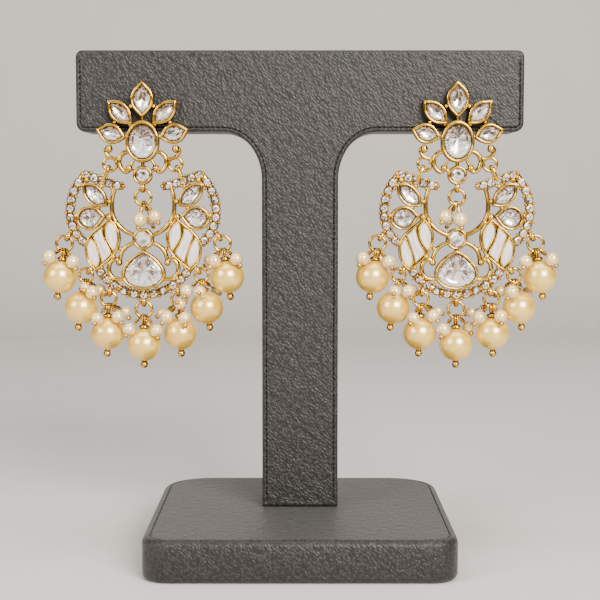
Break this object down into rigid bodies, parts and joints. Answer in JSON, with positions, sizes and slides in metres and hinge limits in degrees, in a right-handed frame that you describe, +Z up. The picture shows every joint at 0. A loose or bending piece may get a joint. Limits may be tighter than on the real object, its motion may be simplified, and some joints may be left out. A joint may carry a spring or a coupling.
{
  "type": "chandbali earring pair on display stand",
  "caption": "Pierced crescent chandbali earrings with clear stones, white enamel leaves and hanging cream pearls, on a T-shaped leatherette stand",
  "frame": {"origin": "centre of the underside of the stand's base", "axes": "+Z up, the earrings' fronts and the bar's long face look along -Y, +X is to the viewer's right"},
  "size_m": [0.1228, 0.0706, 0.12],
  "materials": {
    "leatherette": "warm grey grained leatherette, satin, with dark sewn edges",
    "antique_gold": "polished gold plating over cast alloy, darkened in the recesses",
    "crystal": "clear faceted foil-backed glass",
    "cream_pearl": "glossy cream imitation pearl",
    "enamel": "white mother-of-pearl enamel, smooth and softly streaked"
  },
  "bodies": {
    "stand_and_studs": {"t_bar_and_column": "leatherette", "base": "leatherette", "left_stud_frame": "antique_gold", "left_stud_oval": "crystal", "left_stud_top_petal": "crystal", "left_stud_upper_left_petal": "crystal", "left_stud_upper_right_petal": "crystal", "left_stud_lower_left_petal": "crystal", "left_stud_lower_right_petal": "crystal", "right_stud_frame": "antique_gold", "right_stud_oval": "crystal", "right_stud_top_petal": "crystal", "right_stud_upper_left_petal": "crystal", "right_stud_upper_right_petal": "crystal", "right_stud_lower_left_petal": "crystal", "right_stud_lower_right_petal": "crystal"},
    "left_drop": {"left_crescent_frame": "antique_gold", "left_crescent_left_marquise": "crystal", "left_crescent_right_marquise": "crystal", "left_crescent_left_pear": "crystal", "left_crescent_right_pear": "crystal", "left_crescent_teardrop": "crystal", "left_crescent_left_enamel": "enamel", "left_crescent_right_enamel": "enamel", "left_hanger_1": "antique_gold", "left_pearl_1": "cream_pearl", "left_hanger_2": "antique_gold", "left_pearl_2": "cream_pearl", "left_hanger_3": "antique_gold", "left_pearl_3": "cream_pearl", "left_hanger_4": "antique_gold", "left_pearl_4": "cream_pearl", "left_hanger_5": "antique_gold", "left_pearl_5": "cream_pearl", "left_hanger_6": "antique_gold", "left_pearl_6": "cream_pearl", "left_hanger_7": "antique_gold", "left_pearl_7": "cream_pearl"},
    "right_drop": {"right_crescent_frame": "antique_gold", "right_crescent_left_marquise": "crystal", "right_crescent_right_marquise": "crystal", "right_crescent_left_pear": "crystal", "right_crescent_right_pear": "crystal", "right_crescent_teardrop": "crystal", "right_crescent_left_enamel": "enamel", "right_crescent_right_enamel": "enamel", "right_hanger_1": "antique_gold", "right_pearl_1": "cream_pearl", "right_hanger_2": "antique_gold", "right_pearl_2": "cream_pearl", "right_hanger_3": "antique_gold", "right_pearl_3": "cream_pearl", "right_hanger_4": "antique_gold", "right_pearl_4": "cream_pearl", "right_hanger_5": "antique_gold", "right_pearl_5": "cream_pearl", "right_hanger_6": "antique_gold", "right_pearl_6": "cream_pearl", "right_hanger_7": "antique_gold", "right_pearl_7": "cream_pearl"}
  },
  "joints": [
    {"name": "left_drop_swing", "type": "hinge", "parent": "stand_and_studs", "child": "left_drop", "pos_m": [-0.0374, -0.0034, 0.09154], "axis": [1, 0, 0], "range_deg": [-75, 75]},
    {"name": "right_drop_swing", "type": "hinge", "parent": "stand_and_studs", "child": "right_drop", "pos_m": [0.0374, -0.0034, 0.09154], "axis": [1, 0, 0], "range_deg": [-75, 75]}
  ]
}
